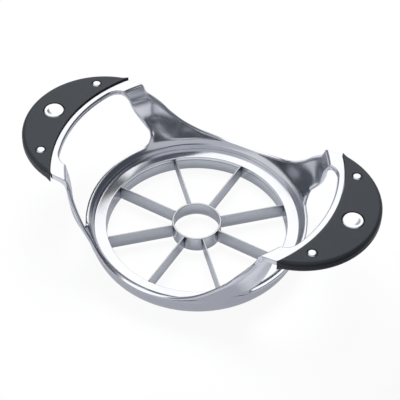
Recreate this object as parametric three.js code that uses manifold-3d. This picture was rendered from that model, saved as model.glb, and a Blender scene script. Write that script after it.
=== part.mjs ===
import * as THREE from 'three';
import { mergeVertices } from 'three/addons/utils/BufferGeometryUtils.js';
import Module from 'manifold-3d';

// Fruit slicer: a cast ring that rises into two raised handles, with eight blades and a core cutter.
// Millimetres, +Z up, origin at the centre of the ring's flat bottom face, +X along the handles.

const wasm = await Module();
wasm.setup();

// Fits
const fitClearance = 0.15;        // slots, seats and holes against what sits in them
const cutOverrun = 2;             // how far a cutting solid runs past what it cuts

// Cutting set
const bladeHeight = 8.8;
const bladeThickness = 0.8;
const bladeGroundHeight = 2.4;    // height of the ground cutting edge
const bladeEdgeThickness = 0.12;
const bladeTurn = THREE.MathUtils.degToRad(-3.7);   // turn of the first blade from the handle axis
const bladeCount = 8;
const coreOuterRadius = 12.7;
const coreWall = 1;
const bandWall = 0.75;
const tabHeight = 3;
const tabReach = 0.55;            // depth of the blind grooves that hold the tabs in the core ring

// Cast ring, from the clear circle outwards
const ledgeInnerRadius = 46.35;
const footHeight = 1;             // the ring's foot stands this far below the cutting edges
const footWidth = 5.05;           // from the clear circle to the foot's outer edge
const footChamfer = 0.6;
const ledgeWidth = 6.25;
const ledgeFall = 0.3;            // fall of the ledge towards the middle
const ledgeRound = 0.35;
const lipDepth = 2.2;             // lip that hides the band's upper edge
const stepHeight = 2.6;
const rimRun = 2.4;               // from the step's top edge out to the rim
const rimRise = 1.7;              // and up to it

// Flared wall that carries the handles
const flareRun = 9.4;             // from the rim out to the crease, where the wall turns into the shelf
const shelfHeight = 51;           // top face of the shelf above the foot
const creaseDrop = 0.8;           // start of the turned-over edge below the shelf's top
const creaseRun = 1.2;            // its width
const shelfThickness = 3;
const wallThickness = 2.2;
// The flare is full at the handles and fades towards the saddles, by angle from the handle axis.
const flareFullAngle = THREE.MathUtils.degToRad(36);
const flareFadedAngle = THREE.MathUtils.degToRad(58);
const flareFadedShare = 0.15;
// From the step's top edge to the crease, as shares of that run and rise
const wallInnerShares = [
  [0, 0], [0.203, 0.045], [0.449, 0.164], [0.602, 0.27], [0.655, 0.4],
  [0.712, 0.619], [0.839, 0.828], [1, 1],
];
// Bow of the outer face between the foot and the rim
const flankBowShares = [0.84, 0.31];

// Saddle between the handles, seen along Y
const saddleDrop = 1;             // its lowest place below the rim
const saddleShares = [
  [0, 0], [0.217, 0.04], [0.365, 0.116], [0.504, 0.221], [0.639, 0.375],
  [0.787, 0.566], [0.869, 0.693], [0.941, 0.811], [0.973, 0.89], [1, 1],
];
const shoulderSlopeShare = 0.5;   // how fast a handle's outline widens downwards into the wall

// Finger opening, seen along X
const openingWidthShare = 0.822;  // its widest place, of the clear circle
const openingNeckShare = 0.7325;  // its width at the shelf, of the grip's outline
// Side of the opening from the floor up to the crease, across as shares of neck to half width
const openingSideShares = [
  [-0.5, 0], [-0.05, 0], [0.4, 0.02], [0.76, 0.088], [1, 0.2], [0.9, 0.305],
  [0.52, 0.524], [0.31, 0.665], [0.17, 0.82], [0, 1],
];
// and seen from above
const openingShelfRun = 4.1;      // from the crease to the bar
const openingCornerRound = 8;

// Handle
const barWidth = 3.5;
const gripWidth = 22;             // at the middle of the handle
const gripEdgeRadius = 40;        // round outline of the handle
const shelfInset = 0.8;           // edge of the shelf, in from the grip's outline
const gripThickness = 6;
const gripRise = 1;               // top of the grip above the shelf
const gripEdgeRound = 2;
const gripTipRound = 0.5;
const tangThickness = 1.8;
const tangInset = 3.4;            // from the grip's outer edge to the tang's

// Rivets, each at a share of the grip's width where it stands
const largeRivetShare = 0.4455;
const largeHeadRadius = 5.25;
const largeShankRadius = 2.6;
const smallRivetShare = 0.379;
const smallRivetSpreadShare = 0.6875;   // how far from the middle of the grip, of its outline's radius
const smallHeadRadius = 2.3;
const smallShankRadius = 1.25;
const headThickness = 1;
const headCrown = 0.45;
const headSunk = 0.15;            // edge of a head below the grip's face
const headGap = 0.3;              // gap round a head

// Smoothness
const ringSteps = 96;
const discSteps = 56;
const coreSteps = 40;
const headSteps = 16;
const crownSteps = 2;
const cornerSteps = 6;
const edgeSteps = 3;
const outlineSteps = 16;
const wallSteps = 12;
const sideSteps = 8;               // along a cut whose sides are twisted

// Radii and widths that follow from the sizes above
const footRadius = ledgeInnerRadius + footWidth;
const stepRadius = ledgeInnerRadius + ledgeWidth;
const rimRadius = stepRadius + rimRun;
const creaseRadius = rimRadius + flareRun;
const barInnerRadius = creaseRadius + openingShelfRun;
const gripInnerRadius = barInnerRadius + barWidth;
const handleCentre = gripInnerRadius + gripWidth - gripEdgeRadius;
const shelfEdgeRadius = gripEdgeRadius - shelfInset;
const openingHalfWidth = ledgeInnerRadius * openingWidthShare;
const openingNeckHalfWidth = gripEdgeRadius * openingNeckShare;
const bandOuterRadius = ledgeInnerRadius + bandWall;
const seatRadius = bandOuterRadius + fitClearance;
const coreInnerRadius = coreOuterRadius - coreWall;
// The saddle ends where the shelf's edge crosses the turned-over edge.
const saddleHalfSpan = crossingAcross(creaseRadius + creaseRun, shelfEdgeRadius);

// Heights that follow
const bladeFoot = footHeight;
const ledgeHeight = bladeFoot + bladeHeight;
const stepTop = ledgeHeight + stepHeight;
const rimHeight = stepTop + rimRise;
const saddleLowHeight = rimHeight - saddleDrop;
const creaseHeight = shelfHeight - creaseDrop;
const shelfBottom = shelfHeight - shelfThickness;
const gripTop = shelfHeight + gripRise;
const gripBottom = gripTop - gripThickness;
const partingHeight = (gripTop + gripBottom) / 2;   // the two shells meet here, round the tang
const tangBottom = partingHeight - tangThickness / 2;
const tangTop = partingHeight + tangThickness / 2;
const bandTop = ledgeHeight - lipDepth - fitClearance;
const tabBottom = bandTop - tabHeight;

const materials = {
  casting: new THREE.MeshStandardMaterial({ color: 0xd2d5da, roughness: 0.08, metalness: 1 }),
  steel: new THREE.MeshStandardMaterial({ color: 0xb4b7bd, roughness: 0.28, metalness: 1 }),
  grip: new THREE.MeshStandardMaterial({ color: 0x3e4347, roughness: 0.55, metalness: 0 }),
  rivet: new THREE.MeshStandardMaterial({ color: 0xe4e6e9, roughness: 0.12, metalness: 1 }),
};

// How far out a circle about the ring's middle crosses one about the handle's centre.
function crossingAcross(ringRadius, handleRadius) {
  return (ringRadius ** 2 - handleRadius ** 2 + handleCentre ** 2) / (2 * handleCentre);
}

// Turns a closed geometry into a solid that can be joined and cut.
function solidOf(geometry) {
  const bare = geometry.index ? geometry.toNonIndexed() : geometry.clone();
  bare.deleteAttribute('normal');
  bare.deleteAttribute('uv');
  const merged = mergeVertices(bare);
  return new wasm.Manifold(new wasm.Mesh({
    numProp: 3,
    vertProperties: new Float32Array(merged.attributes.position.array),
    triVerts: new Uint32Array(merged.index.array),
  }));
}

function geometryOf(solid) {
  const mesh = solid.getMesh();
  const geometry = new THREE.BufferGeometry();
  geometry.setAttribute('position', new THREE.BufferAttribute(mesh.vertProperties, 3));
  geometry.setIndex(new THREE.BufferAttribute(mesh.triVerts, 1));
  geometry.computeVertexNormals();
  return geometry;
}

// Closed section of [radius, height] points, given outside upwards, turned about the Z axis.
function revolved(section, steps) {
  const points = section.map(([radius, height]) => new THREE.Vector2(radius, height));
  points.push(points[0].clone());
  return new THREE.LatheGeometry(points, steps).rotateX(Math.PI / 2);
}

function disc(radius, bottom, top, steps, centre = 0) {
  const geometry = new THREE.CylinderGeometry(radius, radius, top - bottom, steps);
  geometry.rotateX(Math.PI / 2).translate(centre, 0, (bottom + top) / 2);
  return solidOf(geometry);
}

function block(xLow, xHigh, yLow, yHigh, zLow, zHigh) {
  const geometry = new THREE.BoxGeometry(xHigh - xLow, yHigh - yLow, zHigh - zLow);
  geometry.translate((xLow + xHigh) / 2, (yLow + yHigh) / 2, (zLow + zHigh) / 2);
  return solidOf(geometry);
}

function extruded(shape, depth, curveSegments, steps = 1) {
  return new THREE.ExtrudeGeometry(shape, { depth, curveSegments, steps, bevelEnabled: false });
}

// A smooth line through places given as shares of a run and a rise, as [across, up] pairs.
function smoothLine(shares, acrossStart, acrossRun, upStart, upRise, steps) {
  const knots = shares.map(([across, up]) => (
    new THREE.Vector2(acrossStart + across * acrossRun, upStart + up * upRise)
  ));
  return new THREE.SplineCurve(knots).getPoints(steps).map((point) => [point.x, point.y]);
}

// Mirrors a solid over the plane X = 0.
function mirrored(solid) {
  return solid.mirror([1, 0, 0]);
}

// Inner line of the wall at a handle, as [radius, height] pairs from the step up to the crease.
const wallInnerLine = smoothLine(
  wallInnerShares,
  stepRadius, creaseRadius - stepRadius,
  stepTop, creaseHeight - stepTop,
  wallSteps,
);

function wallInnerRadiusAt(height) {
  const above = wallInnerLine.findIndex(([, up]) => up >= height);
  if (above < 0) return creaseRadius;
  if (above === 0) return stepRadius;
  const [lowRadius, low] = wallInnerLine[above - 1];
  const [highRadius, high] = wallInnerLine[above];
  return THREE.MathUtils.mapLinear(height, low, high, lowRadius, highRadius);
}

// The ring and its flared wall are one section turned about the middle.
function wallSection() {
  const flankRun = rimRadius + wallThickness - footRadius;
  const flankRise = rimHeight - footChamfer;
  const [bowAcross, bowUp] = flankBowShares;
  const flank = new THREE.QuadraticBezierCurve(
    new THREE.Vector2(footRadius, footChamfer),
    new THREE.Vector2(footRadius + bowAcross * flankRun, footChamfer + bowUp * flankRise),
    new THREE.Vector2(rimRadius + wallThickness, rimHeight),
  );
  const turnover = new THREE.EllipseCurve(
    creaseRadius + creaseRun, creaseHeight, creaseRun, creaseDrop, Math.PI / 2, Math.PI,
  );
  return [
    [seatRadius, 0],
    [footRadius - footChamfer, 0],
    ...flank.getPoints(cornerSteps).map((point) => [point.x, point.y]),
    ...wallInnerLine.filter(([radius]) => radius > rimRadius + wallThickness / 2)
      .map(([radius, height]) => [radius + wallThickness, height]),
    [creaseRadius + wallThickness, shelfHeight],
    ...turnover.getPoints(edgeSteps).slice(0, -1).map((point) => [point.x, point.y]),
    ...wallInnerLine.slice().reverse(),
    [stepRadius, ledgeHeight],
    [ledgeInnerRadius + ledgeRound, ledgeHeight - ledgeFall],
    [ledgeInnerRadius, ledgeHeight - ledgeFall - ledgeRound],
    [ledgeInnerRadius, ledgeHeight - lipDepth],
    [seatRadius, ledgeHeight - lipDepth],
  ];
}

// Draws the flared wall in towards the rim where the saddles are.
function fadeFlare(geometry) {
  const position = geometry.attributes.position;
  for (let index = 0; index < position.count; index += 1) {
    const x = position.getX(index);
    const y = position.getY(index);
    const flare = Math.max(0, wallInnerRadiusAt(position.getZ(index)) - rimRadius);
    const angle = Math.atan2(Math.abs(y), Math.abs(x));
    const faded = THREE.MathUtils.smoothstep(angle, flareFullAngle, flareFadedAngle);
    const scale = 1 - faded * (1 - flareFadedShare) * flare / Math.hypot(x, y);
    position.setXY(index, x * scale, y * scale);
  }
  return geometry;
}

// Everything above the saddle line between the two handles.
function saddleCut() {
  const line = smoothLine(
    saddleShares, 0, saddleHalfSpan, saddleLowHeight, creaseHeight - saddleLowHeight, outlineSteps,
  );
  const ceiling = shelfHeight + cutOverrun;
  const shape = new THREE.Shape();
  shape.moveTo(-saddleHalfSpan, ceiling);
  for (const [across, up] of line.slice(1).reverse()) shape.lineTo(-across, up);
  for (const [across, up] of line) shape.lineTo(across, up);
  shape.lineTo(saddleHalfSpan, ceiling);
  const reach = creaseRadius + wallThickness + cutOverrun;
  const geometry = extruded(shape, 2 * reach, 1);
  geometry.translate(0, 0, -reach).rotateX(Math.PI / 2);
  return solidOf(geometry);
}

// Outline of the finger opening in the wall, across and up.
function openingOutline() {
  const side = smoothLine(
    openingSideShares,
    openingNeckHalfWidth, openingHalfWidth - openingNeckHalfWidth,
    rimHeight, creaseHeight - rimHeight,
    outlineSteps,
  );
  const ceiling = shelfHeight + cutOverrun;
  const outline = [...side, [openingNeckHalfWidth, ceiling]];
  const otherSide = outline.slice().reverse().map(([across, up]) => [-across, up]);
  return new THREE.Shape([...outline, ...otherSide].map(([across, up]) => new THREE.Vector2(across, up)));
}

// The opening for the fingers, cut outwards through the wall. Its sides run square to the wall
// halfway up, and along the handle axis at the floor and the shelf.
function openingWallCut() {
  const inside = Math.sqrt(ledgeInnerRadius ** 2 - openingHalfWidth ** 2);
  const outside = creaseRadius + wallThickness + cutOverrun;
  const geometry = extruded(openingOutline(), outside - inside, cornerSteps, sideSteps);
  geometry.rotateX(Math.PI / 2).rotateZ(Math.PI / 2).translate(inside, 0, 0);
  const position = geometry.attributes.position;
  for (let index = 0; index < position.count; index += 1) {
    const x = position.getX(index);
    const y = position.getY(index);
    const height = position.getZ(index);
    const up = THREE.MathUtils.clamp((height - rimHeight) / (creaseHeight - rimHeight), 0, 1);
    const wallOut = Math.sqrt(wallInnerRadiusAt(height) ** 2 - y ** 2);
    position.setY(index, y * (1 + Math.sin(Math.PI * up) * (x / wallOut - 1)));
  }
  return solidOf(geometry);
}

// The same opening cut down through the shelf, so that a bar is left along the grip.
function openingShelfCut() {
  const cornerAcross = openingNeckHalfWidth - openingCornerRound;
  const cornerOut = Math.sqrt((barInnerRadius - openingCornerRound) ** 2 - cornerAcross ** 2);
  const cornerAngle = Math.atan2(cornerAcross, cornerOut);
  const shape = new THREE.Shape();
  shape.moveTo(0, -openingNeckHalfWidth);
  shape.lineTo(cornerOut, -openingNeckHalfWidth);
  shape.absarc(cornerOut, -cornerAcross, openingCornerRound, -Math.PI / 2, -cornerAngle, false);
  shape.absarc(0, 0, barInnerRadius, -cornerAngle, cornerAngle, false);
  shape.absarc(cornerOut, cornerAcross, openingCornerRound, cornerAngle, Math.PI / 2, false);
  shape.lineTo(0, openingNeckHalfWidth);
  const geometry = extruded(shape, shelfThickness + 2 * cutOverrun, cornerSteps);
  geometry.translate(0, 0, shelfBottom - cutOverrun);
  return solidOf(geometry);
}

// Shelf and tang of the handle on the +X side.
function handlePlate() {
  const shelf = disc(shelfEdgeRadius, shelfBottom, shelfHeight, discSteps, handleCentre)
    .intersect(disc(gripInnerRadius - fitClearance, shelfBottom, shelfHeight, ringSteps));
  const tang = disc(gripEdgeRadius - tangInset, tangBottom, tangTop, discSteps, handleCentre);
  const insideWall = disc(
    creaseRadius + creaseRun, shelfBottom - cutOverrun, shelfHeight + cutOverrun, ringSteps,
  );
  let plate = shelf.add(tang).subtract(insideWall).subtract(openingShelfCut());
  for (const { x, y, shankRadius } of rivetPlaces()) {
    const hole = disc(shankRadius + fitClearance, 0, shelfHeight, headSteps).translate([x, y, 0]);
    plate = plate.subtract(hole);
  }
  return plate;
}

// Trims the wall to the round outline of the two handles, which widens downwards.
function shoulderTrim() {
  const low = shelfBottom - 2 * shelfThickness;
  const high = shelfHeight + cutOverrun;
  const cone = new THREE.CylinderGeometry(
    shelfEdgeRadius - cutOverrun * shoulderSlopeShare,
    shelfEdgeRadius + (shelfHeight - low) * shoulderSlopeShare,
    high - low, discSteps,
  );
  cone.rotateX(Math.PI / 2).translate(handleCentre, 0, (low + high) / 2);
  const handle = solidOf(cone);
  const reach = creaseRadius + wallThickness + cutOverrun;
  return block(-reach, reach, -reach, reach, low, high).subtract(handle.add(mirrored(handle)));
}

// A place on the grip, at a share of its width from the bar outwards.
function acrossGrip(y, share) {
  const inside = Math.sqrt(gripInnerRadius ** 2 - y ** 2);
  const outside = handleCentre + Math.sqrt(gripEdgeRadius ** 2 - y ** 2);
  return THREE.MathUtils.lerp(inside, outside, share);
}

// The three rivets of the handle on the +X side.
function rivetPlaces() {
  const spread = gripEdgeRadius * smallRivetSpreadShare;
  const large = { headRadius: largeHeadRadius, shankRadius: largeShankRadius };
  const small = { headRadius: smallHeadRadius, shankRadius: smallShankRadius };
  return [
    { label: 'rivet_large', suffix: '', x: acrossGrip(0, largeRivetShare), y: 0, ...large },
    { label: 'rivet_small', suffix: '_1', x: acrossGrip(spread, smallRivetShare), y: spread, ...small },
    { label: 'rivet_small', suffix: '_2', x: acrossGrip(spread, smallRivetShare), y: -spread, ...small },
  ];
}

function frame() {
  const opening = openingWallCut();
  const wall = solidOf(fadeFlare(revolved(wallSection(), ringSteps)))
    .subtract(saddleCut())
    .subtract(opening)
    .subtract(mirrored(opening))
    .subtract(shoulderTrim());
  const plate = handlePlate();
  return wall.add(plate).add(mirrored(plate));
}

// Slots for the blade tabs between two radii, one for each blade.
function tabSlots(innerRadius, outerRadius) {
  const halfWidth = bladeThickness / 2 + fitClearance;
  const slot = block(
    innerRadius, outerRadius,
    -halfWidth, halfWidth,
    tabBottom - fitClearance, bandTop + fitClearance,
  );
  const slots = [];
  for (let index = 0; index < bladeCount; index += 1) {
    const turn = bladeTurn + index * 2 * Math.PI / bladeCount;
    slots.push(slot.rotate([0, 0, THREE.MathUtils.radToDeg(turn)]));
  }
  return wasm.Manifold.union(slots);
}

// The band that the blades hang in, slotted from its upper edge and hidden in the ring's seat.
function bladeBand() {
  const section = [
    [ledgeInnerRadius, bladeFoot],
    [bandOuterRadius, bladeFoot],
    [bandOuterRadius, bandTop],
    [ledgeInnerRadius, bandTop],
  ];
  return solidOf(revolved(section, ringSteps))
    .subtract(tabSlots(ledgeInnerRadius - cutOverrun, bandOuterRadius + cutOverrun));
}

// The core cutter, ground to an edge from inside and grooved outside for the blade tabs.
function coreRing() {
  const section = [
    [coreOuterRadius - bladeEdgeThickness, bladeFoot],
    [coreOuterRadius, bladeFoot],
    [coreOuterRadius, ledgeHeight],
    [coreInnerRadius, ledgeHeight],
    [coreInnerRadius, bladeFoot + bladeGroundHeight],
  ];
  return solidOf(revolved(section, coreSteps))
    .subtract(tabSlots(coreOuterRadius - tabReach, coreOuterRadius + cutOverrun));
}

// A blade along +X, with a tab at each end and a ground lower edge.
function blade() {
  const half = bladeThickness / 2;
  const halfEdge = bladeEdgeThickness / 2;
  const groundTop = bladeFoot + bladeGroundHeight;
  const innerEnd = coreOuterRadius + fitClearance;
  const outerEnd = ledgeInnerRadius - fitClearance;
  const shape = new THREE.Shape();
  shape.moveTo(-halfEdge, bladeFoot);
  shape.lineTo(halfEdge, bladeFoot);
  shape.lineTo(half, groundTop);
  shape.lineTo(half, ledgeHeight);
  shape.lineTo(-half, ledgeHeight);
  shape.lineTo(-half, groundTop);
  const body = extruded(shape, outerEnd - innerEnd, 1);
  body.rotateX(Math.PI / 2).rotateZ(Math.PI / 2).translate(innerEnd, 0, 0);
  const tabInner = coreOuterRadius - tabReach + fitClearance;
  const tabs = block(tabInner, bandOuterRadius, -half, half, tabBottom, bandTop);
  return solidOf(body).add(tabs);
}

// The two shells of a grip share one rounded outline, the crescent outside the bar.
function gripBody() {
  const edgeCentre = gripEdgeRadius - gripEdgeRound;
  const lowerEdge = new THREE.EllipseCurve(
    edgeCentre, gripBottom + gripEdgeRound, gripEdgeRound, gripEdgeRound, -Math.PI / 2, 0,
  );
  const upperEdge = new THREE.EllipseCurve(
    edgeCentre, gripTop - gripEdgeRound, gripEdgeRound, gripEdgeRound, 0, Math.PI / 2,
  );
  const edge = [...lowerEdge.getPoints(edgeSteps), ...upperEdge.getPoints(edgeSteps)];
  const section = [[0, gripBottom], ...edge.map((point) => [point.x, point.y]), [0, gripTop]];
  const round = solidOf(revolved(section, discSteps)).translate([handleCentre, 0, 0]);
  const low = gripBottom - cutOverrun;
  const high = gripTop + cutOverrun;
  const insideBar = disc(gripInnerRadius, low, high, ringSteps);
  const tipOut = crossingAcross(gripInnerRadius, gripEdgeRadius) + gripTipRound;
  const reach = handleCentre + gripEdgeRadius;
  const clearOfTips = block(tipOut, reach, -reach, reach, low, high);
  return round.subtract(insideBar).intersect(clearOfTips);
}

// Pocket for the tang, open towards the bar.
function tangPocket() {
  const radius = gripEdgeRadius - tangInset + fitClearance;
  return disc(radius, tangBottom - fitClearance, tangTop + fitClearance, discSteps, handleCentre);
}

function gripShell(isUpper) {
  const reach = handleCentre + gripEdgeRadius;
  const low = isUpper ? partingHeight + fitClearance / 2 : gripBottom - cutOverrun;
  const high = isUpper ? gripTop + cutOverrun : partingHeight - fitClearance / 2;
  const seatDepth = headSunk + headThickness + fitClearance;
  const seatLow = isUpper ? gripTop - seatDepth : gripBottom - cutOverrun;
  const seatHigh = isUpper ? gripTop + cutOverrun : gripBottom + seatDepth;
  let shell = gripBody().intersect(block(0, reach, -reach, reach, low, high)).subtract(tangPocket());
  for (const { x, y, headRadius, shankRadius } of rivetPlaces()) {
    const shank = disc(shankRadius + fitClearance, low - cutOverrun, high + cutOverrun, headSteps);
    const seat = disc(headRadius + headGap, seatLow, seatHigh, headSteps);
    shell = shell.subtract(shank.add(seat).translate([x, y, 0]));
  }
  return shell;
}

// A rivet with a crowned head on each side of the grip, standing on its own axis.
function rivet(headRadius, shankRadius) {
  const lowerFace = gripBottom + headSunk;
  const upperFace = gripTop - headSunk;
  const crown = new THREE.QuadraticBezierCurve(
    new THREE.Vector2(headRadius, 0),
    new THREE.Vector2(headRadius / 2, headCrown),
    new THREE.Vector2(0, headCrown),
  ).getPoints(crownSteps);
  return revolved([
    ...crown.slice().reverse().map((point) => [point.x, lowerFace - point.y]),
    [headRadius, lowerFace + headThickness],
    [shankRadius, lowerFace + headThickness],
    [shankRadius, upperFace - headThickness],
    [headRadius, upperFace - headThickness],
    ...crown.map((point) => [point.x, upperFace + point.y]),
  ], headSteps);
}

function named(name, geometry, material) {
  const mesh = new THREE.Mesh(geometry, material);
  mesh.name = name;
  return mesh;
}

const slicer = new THREE.Group();
slicer.add(named('frame', geometryOf(frame()), materials.casting));
slicer.add(named('blade_band', geometryOf(bladeBand()), materials.steel));
slicer.add(named('core_ring', geometryOf(coreRing()), materials.steel));

const bladeGeometry = geometryOf(blade());
for (let index = 0; index < bladeCount; index += 1) {
  const mesh = named(`blade_${index + 1}`, bladeGeometry, materials.steel);
  mesh.rotation.z = bladeTurn + index * 2 * Math.PI / bladeCount;
  slicer.add(mesh);
}

const upperShell = geometryOf(gripShell(true));
const lowerShell = geometryOf(gripShell(false));
for (const [side, turn] of [['right', 0], ['left', Math.PI]]) {
  const handle = new THREE.Group();
  handle.rotation.z = turn;
  handle.add(named(`grip_upper_${side}`, upperShell, materials.grip));
  handle.add(named(`grip_lower_${side}`, lowerShell, materials.grip));
  for (const { label, suffix, x, y, headRadius, shankRadius } of rivetPlaces()) {
    const mesh = named(`${label}_${side}${suffix}`, rivet(headRadius, shankRadius), materials.rivet);
    mesh.position.set(x, y, 0);
    handle.add(mesh);
  }
  slicer.add(handle);
}

export default slicer;
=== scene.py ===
import math

import bmesh
import bpy
import numpy as np
from mathutils import Matrix, Vector


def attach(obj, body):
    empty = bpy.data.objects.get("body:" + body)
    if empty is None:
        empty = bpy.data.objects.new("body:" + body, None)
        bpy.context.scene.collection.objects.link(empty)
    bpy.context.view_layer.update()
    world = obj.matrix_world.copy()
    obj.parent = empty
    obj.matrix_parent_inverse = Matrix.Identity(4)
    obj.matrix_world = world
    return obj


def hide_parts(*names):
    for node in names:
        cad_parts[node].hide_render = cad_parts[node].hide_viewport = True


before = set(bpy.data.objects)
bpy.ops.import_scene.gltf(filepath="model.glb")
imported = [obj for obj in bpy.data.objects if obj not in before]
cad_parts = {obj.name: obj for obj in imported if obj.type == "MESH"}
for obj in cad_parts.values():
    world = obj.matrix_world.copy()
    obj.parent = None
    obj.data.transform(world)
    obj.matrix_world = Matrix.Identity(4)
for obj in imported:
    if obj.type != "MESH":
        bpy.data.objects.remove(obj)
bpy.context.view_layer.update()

# Fruit slicer: a polished casting with two raised handles, eight blades and a core cutter.
# Sizes are in millimetres and become metres when a piece is finished.
MM = 0.001

# Cutting set
BLADE_FOOT = 1.0
BLADE_TOP = 9.8
GROUND_TOP = 3.4
BLADE_HALF = 0.4
EDGE_HALF = 0.06
BLADE_TOP_ROUND = 0.14
BLADE_TURN = math.radians(-3.7)
BLADE_COUNT = 8
FIT = 0.15
TAB_LOW = 4.45
TAB_HIGH = 7.45
CORE_OUTER = 12.7
CORE_INNER = 11.7
CORE_TOP_ROUND = 0.22
GROOVE_DEPTH = 0.55
CLEAR_RADIUS = 46.35
BAND_OUTER = 47.1
BAND_TOP = 7.45

# Casting
RIM_RADIUS = 55.0
RIM_HEIGHT = 14.1
SADDLE_LOWEST = 14.4
CREASE_RADIUS = 64.25
TURNED_RADIUS = 65.9
CREASE_HEIGHT = 49.7
WALL_TOP = 50.2
UNDERCUT_FOOT = 40.0
SHELF_HEIGHT = 51.0
SHELF_UNDER = 48.0
WALL_FOOT = 12.75
BAR_INNER = 68.5
BAR_OUTER = 71.85
BAR_UNDER = 70.0
HANDLE_CENTRE = 54.0
SHELF_EDGE = 39.2
NECK_HALF = 29.3
CORNER_ROUND = 8.0

# Grips
GRIP_EDGE = 39.99
GRIP_INNER = 72.0
GRIP_TOP = 52.0
GRIP_BOTTOM = 46.0
PARTING = 49.0
TANG_EDGE = 36.6
TANG_LOW = 48.1
TANG_HIGH = 49.9
GRIP_REACH = math.radians(80.6)
TANG_REACH = math.radians(76)
PARTING_GAP = 0.05


def smooth_between(places):
    """A smooth function of the first number of each place, through all the places."""
    at, value = np.array(places, float).T
    step = np.diff(at)
    slope = np.diff(value) / step
    count = len(at)
    system = np.eye(count)
    right = np.zeros(count)
    for k in range(1, count - 1):
        system[k, k - 1:k + 2] = step[k - 1], 2 * (step[k - 1] + step[k]), step[k]
        right[k] = 6 * (slope[k] - slope[k - 1])
    bend = np.linalg.solve(system, right)

    def read(x):
        x = np.clip(x, at[0], at[-1])
        k = np.clip(np.searchsorted(at, x) - 1, 0, count - 2)
        h, a, b = step[k], at[k + 1] - x, x - at[k]
        return (
            bend[k] * a ** 3 / (6 * h) + bend[k + 1] * b ** 3 / (6 * h)
            + (value[k] / h - bend[k] * h / 6) * a
            + (value[k + 1] / h - bend[k + 1] * h / 6) * b
        )
    return read


def smooth_path(places, samples=600):
    """A smooth line through (a, b) places, as evenly fine samples."""
    places = np.array(places, float)
    run = np.r_[0, np.cumsum(np.hypot(*np.diff(places, axis=0).T))]
    a = smooth_between(np.c_[run, places[:, 0]])
    b = smooth_between(np.c_[run, places[:, 1]])
    along = np.linspace(0, run[-1], samples)
    return np.c_[a(along), b(along)]


def ease(low, high, x):
    """0 below low, 1 above high and smooth between."""
    t = np.clip((x - low) / (high - low), 0, 1)
    return t * t * (3 - 2 * t)


# The wall's inner line by height: from the step, over the rim, up to the crease
wall_radius = smooth_between([
    (12.4, 52.9), (14.1, 55.0), (16.0, 56.3), (18.0, 57.35), (22.0, 59.05), (26.0, 60.5),
    (29.0, 61.3), (33.0, 61.85), (37.0, 62.1), (40.0, 62.3), (44.0, 62.8), (WALL_TOP, 64.4),
])
# Its thickness by height, measured level
wall_thickness = smooth_between([
    (12.4, 3.8), (14.1, 1.7), (16.4, 1.4), (18.6, 1.3), (22.6, 1.3), (27.5, 1.4),
    (35.8, 1.6), (43.7, 1.9), (WALL_TOP, 2.2),
])

# The wall flares fully at the handles and less from there to the saddle's middle
FULL_FLARE = math.radians(37.5)
FADED_FLARE = math.radians(57)
FADED_SHARE = 0.5

# The wall is thicker by this much at its free edges, and loses it within this reach
EDGE_SWELL = 0.8
SWELL_REACH = 2.6
SWELL_RADIUS = 58

# Places along the section's line
WALL_SAMPLES = 300
CREASE_SAMPLES = 16
SHELF_SAMPLES = 40


def section_table():
    """The section's inner and outer lines side by side, by the length along the inner line."""
    heights = np.linspace(WALL_FOOT, CREASE_HEIGHT, WALL_SAMPLES)
    inner = [(wall_radius(z), z) for z in heights]
    for turn in np.linspace(0, math.pi / 2, CREASE_SAMPLES)[1:]:
        inner.append((
            TURNED_RADIUS - (TURNED_RADIUS - CREASE_RADIUS) * math.cos(turn),
            CREASE_HEIGHT + (SHELF_HEIGHT - CREASE_HEIGHT) * math.sin(turn),
        ))
    for radius in np.linspace(TURNED_RADIUS, BAR_OUTER, SHELF_SAMPLES)[1:]:
        inner.append((radius, SHELF_HEIGHT))
    inner = np.array(inner)
    along = np.r_[0, np.cumsum(np.hypot(*np.diff(inner, axis=0).T))]

    def by_height(z):
        return np.interp(z, heights, along[:WALL_SAMPLES])

    def by_radius(r):
        return along[-1] - (BAR_OUTER - r)

    under_height = smooth_between([
        (by_height(UNDERCUT_FOOT), UNDERCUT_FOOT), (by_height(42.0), 41.95),
        (by_height(46.0), 44.9), (by_height(WALL_TOP), 46.9), (by_radius(65.6), 47.6),
        (by_radius(67.2), 47.95), (by_radius(BAR_INNER), SHELF_UNDER),
        (by_radius(BAR_UNDER), SHELF_UNDER),
    ])
    under_radius = smooth_between([
        (by_height(WALL_TOP), wall_radius(46.9) + wall_thickness(46.9)),
        (by_radius(65.6), 66.35), (by_radius(67.2), 67.5), (by_radius(BAR_INNER), BAR_INNER),
        (by_radius(BAR_UNDER), BAR_UNDER),
    ])
    outer = []
    for (radius, height), length in zip(inner, along):
        low = height if height < UNDERCUT_FOOT else float(under_height(length))
        if length <= by_height(WALL_TOP):
            outer.append((wall_radius(low) + wall_thickness(low), low))
        elif radius < BAR_UNDER:
            outer.append((float(under_radius(length)), low))
        else:
            outer.append((radius, SHELF_UNDER))
    return along, inner, np.array(outer), by_height, by_radius


ALONG, INNER_LINE, OUTER_LINE, by_height, by_radius = section_table()


def flare_share(azimuth):
    """How much of its full flare the wall has at an azimuth."""
    return 1 - (1 - FADED_SHARE) * ease(FULL_FLARE, FADED_FLARE, azimuth)


def on_casting(azimuth, length, outer=False):
    """A point of the casting's inner or outer face, by azimuth and length along the section."""
    line = OUTER_LINE if outer else INNER_LINE
    radius = np.interp(length, ALONG, line[:, 0])
    height = np.interp(length, ALONG, line[:, 1])
    inner_radius = np.interp(length, ALONG, INNER_LINE[:, 0])
    drawn = max(0.0, inner_radius - RIM_RADIUS) * (1 - flare_share(azimuth))
    radius -= drawn
    if outer:
        radius += edge_swell(azimuth, length, height)
    return np.array((radius * math.cos(azimuth), radius * math.sin(azimuth), height))


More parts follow.
